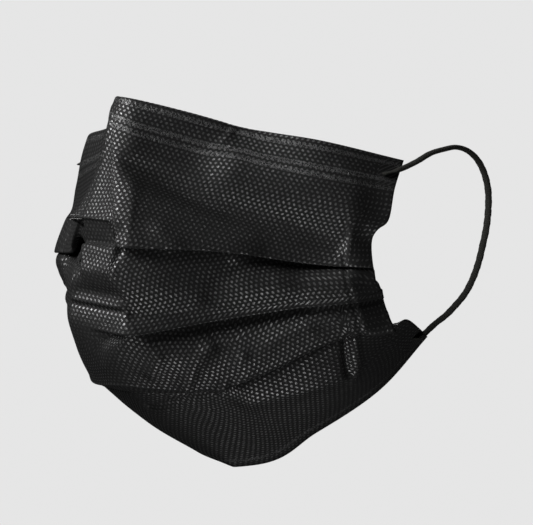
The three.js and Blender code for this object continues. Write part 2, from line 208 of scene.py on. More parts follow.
# Dents, ridges and wrinkles of the worn cloth.  Columns: name, course as places
# (share across, place down the cross lines), half width, height, and crispness, 1
# for a sharp crest, 2 for a rounded one.
RELIEF = (
    ("hem leaning out", ((0.14, 0), (0.3, 0)), 5, 0.8, 2),
    ("brow bulge", ((0.42, 1.5), (0.6, 1.7), (0.8, 2)), 9, 3, 2),
    ("groove under the hem", ((0.34, 0.98), (0.75, 0.95)), 0.9, -0.35, 2),
    ("cheek groove", ((0.1, 1.8), (0.33, 2.35), (0.53, 2.75), (0.8, 3.3)), 3.8, -2.4, 2),
    ("lower cheek", ((0.56, 3.85), (0.86, 3.9)), 4, -1.1, 2),
    ("strip end", ((0.37, 0.2), (0.34, 0.8)), 0.9, 0.45, 2),
    ("nose tip tuck", ((0.045, 3.6), (0.06, 3.9)), 2.6, -1.5, 2),
    ("upper lip bulge", ((-0.1, 4.8), (0.04, 4.8)), 2.4, 0.8, 2),
    ("upper lip groove", ((-0.1, 5.55), (0.05, 5.55)), 2, -0.9, 2),
    ("cheek puff", ((0.24, 3.5), (0.27, 3.75)), 3, 0.7, 2),
    ("panel 2 fold left", ((0.38, 5.4), (0.45, 4.5)), 2.5, -1.1, 2),
    ("panel 2 puff", ((0.5, 5), (0.58, 4.8)), 5, 1.1, 2),
    ("mouth crease lip", ((-0.13, 5.9), (0.02, 5.92)), 0.9, 0.5, 1.3),
    ("mouth crease", ((-0.13, 6.1), (0.03, 6.1)), 0.9, -0.6, 1.3),
    ("mouth valley", ((0.09, 6.05), (0.35, 6.05), (0.65, 6.15)), 5, -2, 1.2),
    ("belly wrinkle 1", ((0.115, 8.5), (0.17, 7.9)), 1.7, 1.2, 2),
    ("belly wrinkle 2", ((0.2, 8.9), (0.27, 8.2), (0.35, 7.8)), 1.6, 1.4, 1.6),
    ("belly wrinkle 3", ((0.29, 9.3), (0.36, 8.7), (0.44, 8.2)), 1.6, 1.4, 1.6),
    ("belly wrinkle 4", ((0.42, 8.7), (0.55, 8.0), (0.66, 7.8)), 2.2, 0.8, 2),
    ("chin crease", ((-0.02, 10.1), (0.14, 9.9), (0.33, 9.4), (0.42, 9.05), (0.87, 9)), 1.3, -1.7, 1.6),
    ("chin bend", ((0.34, 10.1), (0.47, 10.1), (0.56, 10.2), (0.69, 10.4)), 4, 1.2, 1.5),
    ("side dent", ((0.79, 9), (0.71, 10.4)), 1.1, -1.8, 2),
    ("side dent rim", ((0.82, 9.1), (0.76, 10.3), (0.7, 10.75)), 1.1, 0.7, 1.5),
)
# Edge of the welded side bands, its groove, and how far the left band turns back.
BAND_EDGE = ((0.8, 2.6), (0.86, 4), (0.865, 5.5), (0.85, 8.8))
BAND_GROOVE = (1.0, -0.5, 1.5)
BAND_TURN = ((2.4, 0), (3.4, 4), (8, 4), (9, 0))
TURN_FROM = 0.87            # share across at which the left band starts to turn back
RELIEF_REACH = 40           # columns further than this and three half widths away are left alone
STRIP_RISE = 0.3            # how far the nose strip lifts the cloth over it
STRIP_RISE_HALF = 2.1       # half width of that rise
STRIP_FADE = 0.025          # share across over which it ends

# Welds pressed into the cloth, in millimetres.
WELD_LATTICE = dict(Pitch=1.4, Row_Pitch=1.5, Size=0.8)
HEM_WELD_ROWS = ((1.7, 3.0), (7.4, 8.9), (10.1, 11.4))   # from the top edge
BOTTOM_WELD_ROW = (3.2, 4.6)                             # from the bottom edge
ROW_SOFT = 0.25
# Hatched corners.  Columns: side edge to where they start to fade, to where they end, then
# the two ends from the top or bottom edge.
TOP_CORNER = (6.2, 6.8, 0.6, 10.0)
LOW_CORNER = (6.5, 7.2, 2.5, 9.0)
CORNER_SOFT = 0.4
HATCH_TURN = -0.9
HATCH_HALF = 0.55           # half the step between hatch lines
LINING_BAND = (6.0, 6.6)    # side edge to where the lining's weld band fades out

# ---- camera and lights -------------------------------------------------------------
CAMERA_AIM = (23.98, 36.34, -49.56)    # middle of the mask as it is seen
SENSOR = 36                            # width in millimetres
NEAR_CLIP = 0.01                       # metres
# Soft boxes.  Columns: name, azimuth from the front, height in degrees, distance and
# size in metres, share of the key light's power.
SOFT_BOXES = (
    ("Key light", -36, 36, 1.2, 0.6, 1.0),
    ("Front light", 16, 52, 1.2, 0.5, 0.17),
    ("Low light", 42, -45, 1.2, 0.5, 0.33),
    ("Back light", 205, 30, 1.2, 0.6, 0.09),
)
FLOOR_SIDES = 64
FLOOR_FADE = (0.45, 0.95)   # shares of the radius between which the floor fades out


# ---- smooth curves -----------------------------------------------------------------
def smooth_through(at, values, x, sharp=None):
    """Smooth curve through (at[i], values[i]) at the places x; values may be vectors.

    sharp maps a place's index to its crispness, 1 for a full corner.
    """
    at = np.asarray(at, float)
    values = np.asarray(values, float)
    slope = np.diff(values, axis=0) / np.diff(at)[:, None]
    before = slope.copy()
    after = slope.copy()
    for k in range(1, len(at) - 1):
        crisp = (sharp or {}).get(k, 0)
        near = at[k] - at[k - 1]
        far = at[k + 1] - at[k]
        even = (far * slope[k - 1] + near * slope[k]) / (near + far)
        after[k - 1] = mix(even, slope[k - 1], crisp)
        before[k] = mix(even, slope[k], crisp)
    i = np.clip(np.searchsorted(at, x, side="right") - 1, 0, len(at) - 2)
    h = (at[i + 1] - at[i])[:, None]
    s = ((x - at[i]) / (at[i + 1] - at[i]))[:, None]
    s2 = s * s
    s3 = s2 * s
    return ((2 * s3 - 3 * s2 + 1) * values[i] + (s3 - 2 * s2 + s) * before[i] * h
            + (3 * s2 - 2 * s3) * values[i + 1] + (s3 - s2) * after[i] * h)


def smooth_step(x):
    s = np.clip(x, 0, 1)
    return s * s * (3 - 2 * s)


def mix(a, b, share):
    return a + (b - a) * share


def eased(profile, x):
    """Value at x of a profile of (place, value) rows, eased from row to row."""
    for (a, low), (b, high) in zip(profile, profile[1:]):
        if x < b:
            return mix(low, high, smooth_step((x - a) / (b - a)))
    return profile[-1][1]


def spread(start, end, count):
    """Even places after start, the last at end."""
    return [mix(start, end, i / count) for i in range(1, count + 1)]


def spans(rows):
    """Places over joined spans given as (from, to, number)."""
    places = [rows[0][0]]
    for start, end, count in rows:
        places += spread(start, end, count)
    return np.array(places)


# ---- the form ----------------------------------------------------------------------
def mirrored(point):
    return (-point[0], *point[1:])


def toward(start, end, distance):
    """Point at a distance from start on the way to end."""
    return start + (end - start) * distance / np.linalg.norm(end - start)


def cross_line(index):
    """Shares, points and crisp places of one cross line, the wearer's right first."""
    _, middle, *half = LINES[index]
    points = [np.array(p, float) for p in [mirrored(p) for p in half[::-1]] + [(0, *middle)] + half]
    shares = [-s for s in STATIONS[:0:-1]] + list(STATIONS)
    centre = len(half)
    ends = list(smooth_through(shares, points, np.array(RIDGE_ENDS)))
    crisp = {}
    for line, crispness, cut, left, right in NOSE_STRIP:
        if line == index:
            left, right = np.array(left), np.array(right)
            ends = [toward(left, right, cut), toward(left, points[centre + 1], cut)]
            points[centre - 1] = right
            points[centre] = mix(right, ends[0], STATIONS[1] / (STATIONS[1] + RIDGE_ENDS[0]))
            crisp = {centre - 1: crispness, centre + 1: crispness, centre + 2: crispness}
    shares[centre + 1:centre + 1] = RIDGE_ENDS
    points[centre + 1:centre + 1] = ends
    return shares, np.array(points), crisp


def form_grid(across):
    """Points (columns, steps, 3) of the smooth form for the given shares across."""
    rows = []
    for index in range(len(LINES)):
        shares, points, crisp = cross_line(index)
        rows.append(smooth_through(shares, points, across, crisp))
    steps = np.linspace(0, len(LINES) - 1, (len(LINES) - 1) * FINE + 1)
    flat = np.array(rows).reshape(len(LINES), -1)
    grid = smooth_through(np.arange(len(LINES)), flat, steps, {line: 1 for line in SHARP_LINES})
    return grid.reshape(len(steps), len(across), 3).transpose(1, 0, 2)


class Form:
    """The worn form, with the distance down each column and the way out."""

    def __init__(self, across):
        self.across = np.asarray(across, float)
        self.points = form_grid(self.across)
        steps = np.diff(self.points, axis=1)
        reach = np.cumsum(np.linalg.norm(steps, axis=2), axis=1)
        self.reach = np.concatenate([np.zeros((len(self.across), 1)), reach], axis=1)
        down = np.gradient(self.points, axis=1)
        side = np.gradient(self.points, self.across, axis=0)
        out = np.cross(down, side)
        self.out = out / np.linalg.norm(out, axis=2, keepdims=True)

    def line_at(self, column, line):
        """Distance down one column to a place between the cross lines."""
        return np.interp(line * FINE, np.arange(self.reach.shape[1]), self.reach[column])

    def length(self, column):
        return self.reach[column, -1]

    def beside(self, column, distance, course):
        """Distance of the places down one column from a course over the cloth."""
        nearest = np.full(len(distance), np.inf)
        here = self.across[column] * HALF_FLAT
        for (share, line), (next_share, next_line) in zip(course, course[1:]):
            run = (next_share - share) * HALF_FLAT
            start = self.line_at(column, line)
            drop = self.line_at(column, next_line) - start
            aside = here - share * HALF_FLAT
            along = np.clip((aside * run + (distance - start) * drop) / (run ** 2 + drop ** 2), 0, 1)
            gap = np.hypot(aside - along * run, distance - start - along * drop)
            nearest = np.minimum(nearest, gap)
        return nearest

    def relief(self, column, distance):
        """Height of the dents, ridges and wrinkles down one column."""
        here = self.across[column]
        band = tuple((math.copysign(share, here), line) for share, line in BAND_EDGE)
        height = np.zeros(len(distance))
        for course, wide, proud, crisp in [row[1:] for row in RELIEF] + [(band, *BAND_GROOVE)]:
            if min(abs(here - share) for share, _ in course) * HALF_FLAT < RELIEF_REACH + 3 * wide:
                height += proud * np.exp(-(self.beside(column, distance, course) / wide) ** crisp)
        over_strip = np.exp(-(np.abs(distance - STRIP_DROP) / STRIP_RISE_HALF) ** 4)
        over_strip *= smooth_step((STRIP_REACH - abs(here)) / STRIP_FADE)
        lines = np.interp(distance, self.reach[column], np.arange(self.reach.shape[1]) / FINE)
        turn = np.array([eased(BAND_TURN, line) for line in lines])
        past_edge = max(0, here - TURN_FROM) / (1 - TURN_FROM)
        return height + STRIP_RISE * over_strip - turn * past_edge

    def place(self, column, path):
        """Turns (distance down, distance out) rows into points of one column."""
        reach = self.reach[column]
        i = np.clip(np.searchsorted(reach, path[:, 0]) - 1, 0, len(reach) - 2)
        share = ((path[:, 0] - reach[i]) / (reach[i + 1] - reach[i]))[:, None]
        base = mix(self.points[column][i], self.points[column][i + 1], share)
        held = np.clip(share, 0, 1)
        out = mix(self.out[column][i], self.out[column][i + 1], held)
        out /= np.linalg.norm(out, axis=1, keepdims=True)
        return base + out * (path[:, 1:2] + self.relief(column, path[:, 0])[:, None])


# ---- folded path of the cloth down one column --------------------------------------
def pleat_at(pleat, form, column):
    """The pleat's sizes at one column."""
    across = form.across[column]
    profiles = ("open", "lap", "lip", "pocket", "step", "ledge")
    opened, lap, lip, pocket, step, ledge = (eased(pleat[key], across) for key in profiles)
    pitch = eased(PLY_PITCH, abs(across))
    fold = form.line_at(column, pleat["line"]) - pleat["opening"] * pleat["lift"] * opened
    turn = mix(pitch, step, opened)
    slide = SLIDE * opened
    tuck = fold + mix(-lap, pleat["opening"], opened)
    tuck_out = lip - turn - pocket
    return dict(fold=fold, lip=lip, pocket=pocket, pitch=pitch, tuck=tuck, tuck_out=tuck_out,
                under=fold + slide, under_out=lip - turn, next=tuck + slide,
                next_out=tuck_out - mix(pitch, -ledge, opened))


def panels_at(form, column, start):
    """The panels between the pleats at one column, each with the pleat below it."""
    panels = []
    start_out, rise_from = 0.0, PANEL_TOP
    for pleat in [pleat_at(pleat, form, column) for pleat in PLEATS] + [None]:
        panel = dict(start=start, start_out=start_out, rise_from=rise_from, pleat=pleat)
        if pleat:
            lap_start = min(pleat["fold"] - pleat["pitch"], pleat["tuck"])
            panel.update(lap_start=lap_start, lap_out=pleat["lip"] - pleat["pocket"] * LAP_FILL,
                         rise=min(RISE, max(pleat["pitch"], lap_start - rise_from)))
            start, start_out = pleat["next"], pleat["next_out"]
            rise_from = max(start, pleat["fold"])
        else:
            panel.update(lap_start=None, rise=RISE)
        panels.append(panel)
    return panels


def panel_out(panel, distance):
    """How far out the panel's cloth lies at a distance down."""
    sunk = panel["start_out"] * (1 - smooth_step((distance - panel["rise_from"]) / panel["rise"]))
    pleat = panel["pleat"]
    if not pleat:
        return sunk
    lap_start = panel["lap_start"]
    if distance > lap_start:
        return mix(panel["lap_out"], pleat["lip"], (distance - lap_start) / (pleat["fold"] - lap_start))
    way = (distance - panel["rise_from"]) / (lap_start - panel["rise_from"])
    return sunk + panel["lap_out"] * smooth_step(way)


def panel_places(panel, index, end, form, column):
    """Distances down at which the panel has knots, to its fold or to the cloth's end."""
    before, after, crease = PANELS[index]
    pleat = panel["pleat"]
    if pleat:
        end = max(pleat["fold"] - NEAR_FOLD, mix(panel["lap_start"], pleat["fold"], NEAR_FOLD_SHARE))
    if crease is None:
        return spread(panel["start"], end, before)
    middle = min(form.line_at(column, crease), end - CREASE_ROOM)
    beside = [middle + step for step in CREASE_KNOTS]
    return spread(panel["start"], beside[0] - CREASE_GAP, before) + beside + spread(beside[-1], end, after)


def pleated_knots(form, column, start, short):
    """Knots of the folded cloth from a distance down to a little short of its end, and its fold knots."""
    knots, folds = [], []
    end = form.length(column) - short
    for index, panel in enumerate(panels_at(form, column, start)):
        places = panel_places(panel, index, end, form, column)
        knots += [(distance, panel_out(panel, distance)) for distance in places]
        pleat = panel["pleat"]
        if pleat:
            under = np.array((pleat["under"], pleat["under_out"]))
            tuck = np.array((pleat["tuck"], pleat["tuck_out"]))
            folds += [len(knots), len(knots) + 2 + len(UNDER_SHARES)]
            knots += [(pleat["fold"], pleat["lip"]), tuple(under)]
            knots += [tuple(mix(under, tuck, share)) for share in UNDER_SHARES]
            knots += [tuple(tuck), (pleat["next"], pleat["next_out"])]
    return knots, folds


def cloth_knots(form, column):
    """Knots (distance down, distance out) of the folded cloth, hem first, and its fold knots."""
    over = eased(HEM_OVER_STRIP, abs(form.across[column]))
    hem = [(HEM_DEPTH, -HEM_WELD), (HEM_DEPTH - HEM_WELD_WIDTH, -HEM_WELD)]
    hem += [(down, -over * share) for down, share in HEM_KNOTS]
    knots, folds = pleated_knots(form, column, PANEL_TOP, 0)
    return np.array(hem + knots), [HEM_TOP_KNOT] + [fold + len(hem) for fold in folds]


def lining_knots(form, column):
    """Knots of the cloth that the lining lies behind, and its fold knots."""
    knots, folds = pleated_knots(form, column, LINING_TOP, LINING_BOTTOM)
    return np.array(knots), [0] + folds


def round_corners(path, times=FOLD_ROUNDS):
    """Cuts every corner of an open path, keeping its two ends."""
    for _ in range(times):
        near = mix(path[:-1], path[1:], CORNER_CUT)
        far = mix(path[:-1], path[1:], 1 - CORNER_CUT)
        cut = np.empty((2 * len(near), path.shape[1]))
        cut[0::2] = near
        cut[1::2] = far
        path = np.concatenate([path[:1], cut[1:-1], path[-1:]])
    return path


def knot_row(knot, times=FOLD_ROUNDS):
    """Row of a rounded path that lies at the corner of a knot."""
    return max(0, knot * 2 ** times - 1)


def offset_path(path, distance):
    """Path moved sideways by a distance, corners mitred."""
    step = np.diff(path, axis=0)
    step /= np.maximum(np.linalg.norm(step, axis=1, keepdims=True), TINY)
    into = np.concatenate([step[:1], step])
    away = np.concatenate([step, step[-1:]])
    both = into + away
    side = np.stack([-both[:, 1], both[:, 0]], axis=1)
    side /= np.maximum(np.linalg.norm(side, axis=1, keepdims=True), TINY)
    half = np.maximum(LEAST_MITRE, -side[:, 0] * into[:, 1] + side[:, 1] * into[:, 0])
    return path + side * (distance / half)[:, None]


def distance_along(path):
    """Distance of every point of a path from its start."""
    return np.concatenate([[0], np.cumsum(np.linalg.norm(np.diff(path, axis=0), axis=1))])


def arc_length(points, axis):
    """Distance along one axis of a grid of points, starting at 0."""
    steps = np.cumsum(np.linalg.norm(np.diff(points, axis=axis), axis=2), axis=axis)
    start = np.zeros_like(np.take(steps, [0], axis=axis))
    return np.concatenate([start, steps], axis=axis)


def flat_place(middle, folds, centre):
    """Place of every point on the flat cloth, and its distance from the side and bottom edges.

    middle is the cloth's middle surface and folds the rows of its top edge, folds and tucks.
    Across is measured from the centre column, down from the top edge, and the rows run along
    the top edge in the first panel, along its own fold or bottom edge in every other.
    """
    columns, rows = middle.shape[:2]
    side = arc_length(middle, 0)
    width = side[-1]
    edge = np.minimum(side, width - side)
    side = side - side[centre]
    steps = np.linalg.norm(np.diff(middle, axis=1), axis=2)
    drift = np.diff(side, axis=1)
    straight = np.sqrt(np.maximum(steps ** 2 - drift ** 2, (LEAST_DOWN * steps) ** 2))
    down = np.concatenate([np.zeros((columns, 1)), np.cumsum(straight, axis=1)], axis=1)
    down -= down[:, folds[:1]]
    below = down[:, -1:] - down
    ends = [0] + list(folds) + [rows]
    anchored = down.copy()
    for piece, (first, last) in enumerate(zip(ends, ends[1:])):
        anchor = min(last, rows - 1) if piece % 2 and piece > 1 else first
        anchored[:, first:last] += down[:, anchor].mean() - down[:, anchor, None]
    return np.stack([side, anchored], axis=2), np.stack([edge, below], axis=2)


# ---- meshes ------------------------------------------------------------------------
def add_piece(name, vertices, faces, maps):
    """Smooth mesh object with UV maps, from arrays of points (mm), faces and flat places per point."""
    mesh = bpy.data.meshes.new(name)
    mesh.from_pydata((np.asarray(vertices) * MM).tolist(), [], [list(face) for face in faces])
    corner = np.empty(len(mesh.loops), dtype=np.int64)
    mesh.loops.foreach_get("vertex_index", corner)
    for label, place in maps.items():
        uv = mesh.uv_layers.new(name=label)
        uv.data.foreach_set("uv", np.asarray(place)[corner].astype(np.float32).ravel())
    mesh.shade_smooth()
    mesh.validate()
    obj = bpy.data.objects.new(name, mesh)
    bpy.context.scene.collection.objects.link(obj)
    return obj


def shell_faces(columns, rows):
    """Faces of a closed shell over a front grid and a back grid of points."""
    at = np.arange(columns * rows).reshape(columns, rows)
    behind = at + columns * rows

    def quads(a, b, c, d):
        return np.stack([a.ravel(), b.ravel(), c.ravel(), d.ravel()], axis=1)

    return np.concatenate([
        quads(at[:-1, :-1], at[:-1, 1:], at[1:, 1:], at[1:, :-1]),
        quads(behind[:-1, :-1], behind[1:, :-1], behind[1:, 1:], behind[:-1, 1:]),
        quads(at[:-1, 0], at[1:, 0], behind[1:, 0], behind[:-1, 0]),
        quads(at[1:, -1], at[:-1, -1], behind[:-1, -1], behind[1:, -1]),
        quads(at[0, 1:], at[0, :-1], behind[0, :-1], behind[0, 1:]),
        quads(at[-1, :-1], at[-1, 1:], behind[-1, 1:], behind[-1, :-1]),
    ]).tolist()


def tube_faces(rings, sides):
    """Faces of a closed tube of rings, with a cap at each end."""
    at = np.arange(rings * sides).reshape(rings, sides)
    after = np.roll(at, -1, axis=1)
    faces = np.stack([at[:-1], after[:-1], after[1:], at[1:]], axis=2).reshape(-1, 4).tolist()
    return faces + [at[0, ::-1].tolist(), at[-1].tolist()]


def sheet_piece(name, form, knots_of, thickness, depths=((-1, 0), (1, 0))):
    """Closed cloth sheet over every column of the form, behind its knots by a profile of depths."""
    front, back, middle = [], [], []
    for column in range(len(form.across)):
        knots, folds = knots_of(form, column)
        path = round_corners(knots)
        behind = eased(depths, form.across[column])
        middle.append(form.place(column, offset_path(path, -behind)))
        front.append(form.place(column, offset_path(path, thickness / 2 - behind)))
        back.append(form.place(column, offset_path(path, -thickness / 2 - behind)))
    front, back, middle = np.array(front), np.array(back), np.array(middle)
    centre = int(np.argmin(np.abs(form.across)))
    place, edges = flat_place(middle, [knot_row(knot) for knot in folds], centre)
    vertices = np.concatenate([front.reshape(-1, 3), back.reshape(-1, 3)])
    maps = {}
    for label, grid in (("cloth_mm", place), ("edge_mm", edges)):
        maps[label] = np.tile(grid.reshape(-1, 2), (2, 1))
    return add_piece(name, vertices, shell_faces(*middle.shape[:2]), maps)


def tube_piece(name, path, wide, thick, flat_way, sides):
    """Closed tube along a dense path (mm), wide across flat_way and thick over it."""
    path = np.asarray(path, float)
    ahead = np.gradient(path, axis=0)
    ahead /= np.linalg.norm(ahead, axis=1, keepdims=True)
    across = flat_way - (flat_way * ahead).sum(axis=1, keepdims=True) * ahead
    across /= np.linalg.norm(across, axis=1, keepdims=True)
    over = np.cross(ahead, across)
    angle = np.arange(sides) / sides * 2 * math.pi
    ring = (across[:, None] * (np.cos(angle)[None, :, None] * wide[:, None, None] / 2)
            + over[:, None] * (np.sin(angle)[None, :, None] * thick[:, None, None] / 2))
    points = (path[:, None] + ring).reshape(-1, 3)
    around = np.sin(angle / 2) * KNIT_AROUND
    place = np.stack(np.broadcast_arrays(distance_along(path)[:, None], around[None, :]), axis=2)
    return add_piece(name, points, tube_faces(len(path), sides), {"cloth_mm": place.reshape(-1, 2)})


# ---- shader helpers ----------------------------------------------------------------
class Nodes:
    """Short calls for placing and joining nodes in one tree."""

    def __init__(self, tree):
        self.tree = tree

    def add(self, kind, inputs=(), **settings):
        node = self.tree.nodes.new("ShaderNode" + kind)
        for key, value in settings.items():
            setattr(node, key, value)
        for key, value in dict(inputs).items():
            self.put(node.inputs[key], value)
        return node

    def put(self, socket, value):
        if isinstance(value, bpy.types.NodeSocket):
            self.tree.links.new(value, socket)
        else:
            socket.default_value = value

    def math(self, operation, *values, clamp=False):
        node = self.tree.nodes.new("ShaderNodeMath")
        node.operation = operation
        node.use_clamp = clamp
        for socket, value in zip(node.inputs, values):
            self.put(socket, value)
        return node.outputs[0]

    def times(self, a, b):
        return self.math("MULTIPLY", a, b)

    def plus(self, a, b):
        return self.math("ADD", a, b)

    def minus(self, a, b, clamp=False):
        return self.math("SUBTRACT", a, b, clamp=clamp)

    def ramp(self, value, low, high, to_low=0.0, to_high=1.0):
        """Eased step of value from low to high."""
        node = self.tree.nodes.new("ShaderNodeMapRange")
        node.interpolation_type = "SMOOTHSTEP"
        for key, item in (("Value", value), ("From Min", low), ("From Max", high),
                          ("To Min", to_low), ("To Max", to_high)):
            self.put(node.inputs[key], item)
        return node.outputs["Result"]

    def band(self, value, low, high, soft):
        """1 where value lies between low and high, with soft ends."""
        rise = self.ramp(value, low - soft, low + soft)
        fall = self.ramp(value, high - soft, high + soft, 1.0, 0.0)
        return self.times(rise, fall)

    def most(self, *masks):
        """The greatest of several masks."""
        result = masks[0]
        for mask in masks[1:]:
            result = self.math("MAXIMUM", result, mask)
        return result

    def blend(self, share, a, b):
        node = self.tree.nodes.new("ShaderNodeMix")
        node.data_type = "RGBA"
        self.put(node.inputs["Factor"], share)
        self.put(node.inputs[6], a)
        self.put(node.inputs[7], b)
        return node.outputs[2]

    def axes(self, vector):
        return self.add("SeparateXYZ", {"Vector": vector}).outputs

    def map(self, name="cloth_mm"):
        """Places of one of the mesh's flat maps."""
        return self.add("UVMap", uv_map=name).outputs["UV"]

    def noise(self, place, scale, detail, output="Fac", **more):
        inputs = {"Vector": place, "Scale": scale, "Detail": detail, **more}
        return self.add("TexNoise", inputs).outputs[output]

    def bump(self, height, strength=1.0):
        """Normal over a height in millimetres."""
        inputs = {"Height": height, "Strength": strength, "Distance": MM}
        return self.add("Bump", inputs).outputs["Normal"]

    def group(self, tree, **inputs):
        node = self.tree.nodes.new("ShaderNodeGroup")
        node.node_tree = tree
        for key, value in inputs.items():
            self.put(node.inputs[key.replace("_", " ")], value)
        return node.outputs


def group_tree(name, inputs, outputs, build):
    """Node group of that name, built once."""
    found = bpy.data.node_groups.get(name)
    if found:
        return found
    tree = bpy.data.node_groups.new(name, "ShaderNodeTree")
    for label, kind, default in inputs:
        socket = tree.interface.new_socket(label, in_out="INPUT", socket_type="NodeSocket" + kind)
        if default is not None:
            socket.default_value = default
    for label in outputs:
        tree.interface.new_socket(label, in_out="OUTPUT", socket_type="NodeSocketFloat")
    start = tree.nodes.new("NodeGroupInput")
    end = tree.nodes.new("NodeGroupOutput")
    build(Nodes(tree), start.outputs, end.inputs)
    return tree


def cell_of(n, place, pitch, row_pitch, stagger):
    """Way from the middle of a lattice's cell (mm), 1 in an odd row, and the cell's chance values."""
    axes = n.axes(place)
    row_place = n.math("DIVIDE", axes["Y"], row_pitch)
    row = n.math("FLOOR", row_place)
    odd = n.math("PINGPONG", row, 1.0)
    column_place = n.math("MULTIPLY_ADD", odd, stagger, n.math("DIVIDE", axes["X"], pitch))
    column = n.math("FLOOR", column_place)
    across = n.minus(n.minus(column_place, column), 0.5)
    down = n.minus(n.minus(row_place, row), 0.5)
    cell = n.add("CombineXYZ", {"X": column, "Y": row}).outputs[0]
    chance = n.add("TexWhiteNoise", {"Vector": cell}, noise_dimensions="2D").outputs
    return n.times(across, pitch), n.times(down, row_pitch), odd, chance


def oval(n, across, down, turn, length, width):
    """Distance from the middle of a leaning oval, 1 on its rim."""
    cosine = n.math("COSINE", turn)
    sine = n.math("SINE", turn)
    along = n.plus(n.times(across, cosine), n.times(down, sine))
    aside = n.minus(n.times(down, cosine), n.times(across, sine))
    along = n.math("DIVIDE", n.times(along, 2.0), length)
    aside = n.math("DIVIDE", n.times(aside, 2.0), width)
    return n.math("SQRT", n.plus(n.times(along, along), n.times(aside, aside)))


def bond_dots():
    """Staggered rows of oval bond dots, leaning one way and the other row by row."""
    def build(n, given, result):
        across, down, odd, chance = cell_of(n, given["Place"], given["Pitch"], given["Row Pitch"], 0.5)
        lean = n.times(n.math("MULTIPLY_ADD", odd, 2.0, -1.0), given["Lean"])
        turn = n.plus(lean, n.math("MULTIPLY_ADD", chance["Value"], 0.4, -0.2))
        far = oval(n, across, down, turn, given["Length"], given["Width"])
        n.put(result["Dots"], n.ramp(far, 1.08, 0.45))
        n.put(result["Shade"], chance["Value"])
    return group_tree("Bond dots", [
        ("Place", "Vector", None), ("Pitch", "Float", 1.62), ("Row Pitch", "Float", 1.18),
        ("Length", "Float", 1.1), ("Width", "Float", 0.8), ("Lean", "Float", 0.7),
    ], ["Dots", "Shade"], build)


def weld_blobs():
    """Squashed, uneven blobs of a weld, on a lattice of their own."""
    def build(n, given, result):
        wander = n.noise(given["Place"], 0.7, 2.0, "Color")
        shift = n.add("VectorMath", {0: wander, 1: (-0.5, -0.5, -0.5)}, operation="ADD").outputs[0]
        moved = n.add("VectorMath", {0: shift, "Scale": given["Wander"]}, operation="SCALE").outputs[0]
        place = n.add("VectorMath", {0: given["Place"], 1: moved}, operation="ADD").outputs[0]
        across, down, _, chance = cell_of(n, place, given["Pitch"], given["Row Pitch"], 0.0)
        size = n.times(given["Size"], n.math("MULTIPLY_ADD", chance["Value"], 0.6, 0.7))
        turn = n.times(chance["Value"], 3.0)
        far = oval(n, across, down, turn, size, n.times(size, 0.7))
        n.put(result["Blobs"], n.ramp(far, 1.25, 0.5))
        curl = n.noise(given["Place"], 1.3, 1.5)
        n.put(result["Curls"], n.ramp(n.math("ABSOLUTE", n.minus(curl, 0.5)), 0.08, 0.02))
    return group_tree("Weld blobs", [
        ("Place", "Vector", None), ("Pitch", "Float", 1.4), ("Row Pitch", "Float", 1.5),
        ("Size", "Float", 0.75), ("Wander", "Float", 0.5),
    ], ["Blobs", "Curls"], build)


def cloth_fibres():
    """Loose random fibres and cloudy thickness of a spunbond cloth."""
    def build(n, given, result):
        place = given["Place"]
        fibres = []
        for angle, seed in ((0.5, 3.0), (-0.6, 11.0), (1.5, 27.0)):
            turned = n.add("Mapping", {"Vector": place, "Rotation": (0, 0, angle),
                                       "Location": (seed, seed, 0), "Scale": (0.9, 6.5, 1)}).outputs[0]
            fibres.append(n.noise(turned, 1.0, 2.0, Roughness=0.6))
        n.put(result["Fibres"], n.ramp(n.most(*fibres), 0.42, 0.75))
        cloud = n.noise(place, 0.45, 4.0, Roughness=0.6)
        n.put(result["Cloud"], n.ramp(cloud, 0.3, 0.7))
    return group_tree("Cloth fibres", [("Place", "Vector", None)], ["Fibres", "Cloud"], build)


def new_material(name):
    material = bpy.data.materials.new(name)
    material.use_nodes = True
    material.node_tree.nodes.clear()
    return material, Nodes(material.node_tree)


def finish_material(n, inputs):
    shader = n.add("BsdfPrincipled", inputs)
    n.put(n.add("OutputMaterial").inputs["Surface"], shader.outputs[0])


def grey(value):
    return (value, value, value, 1)


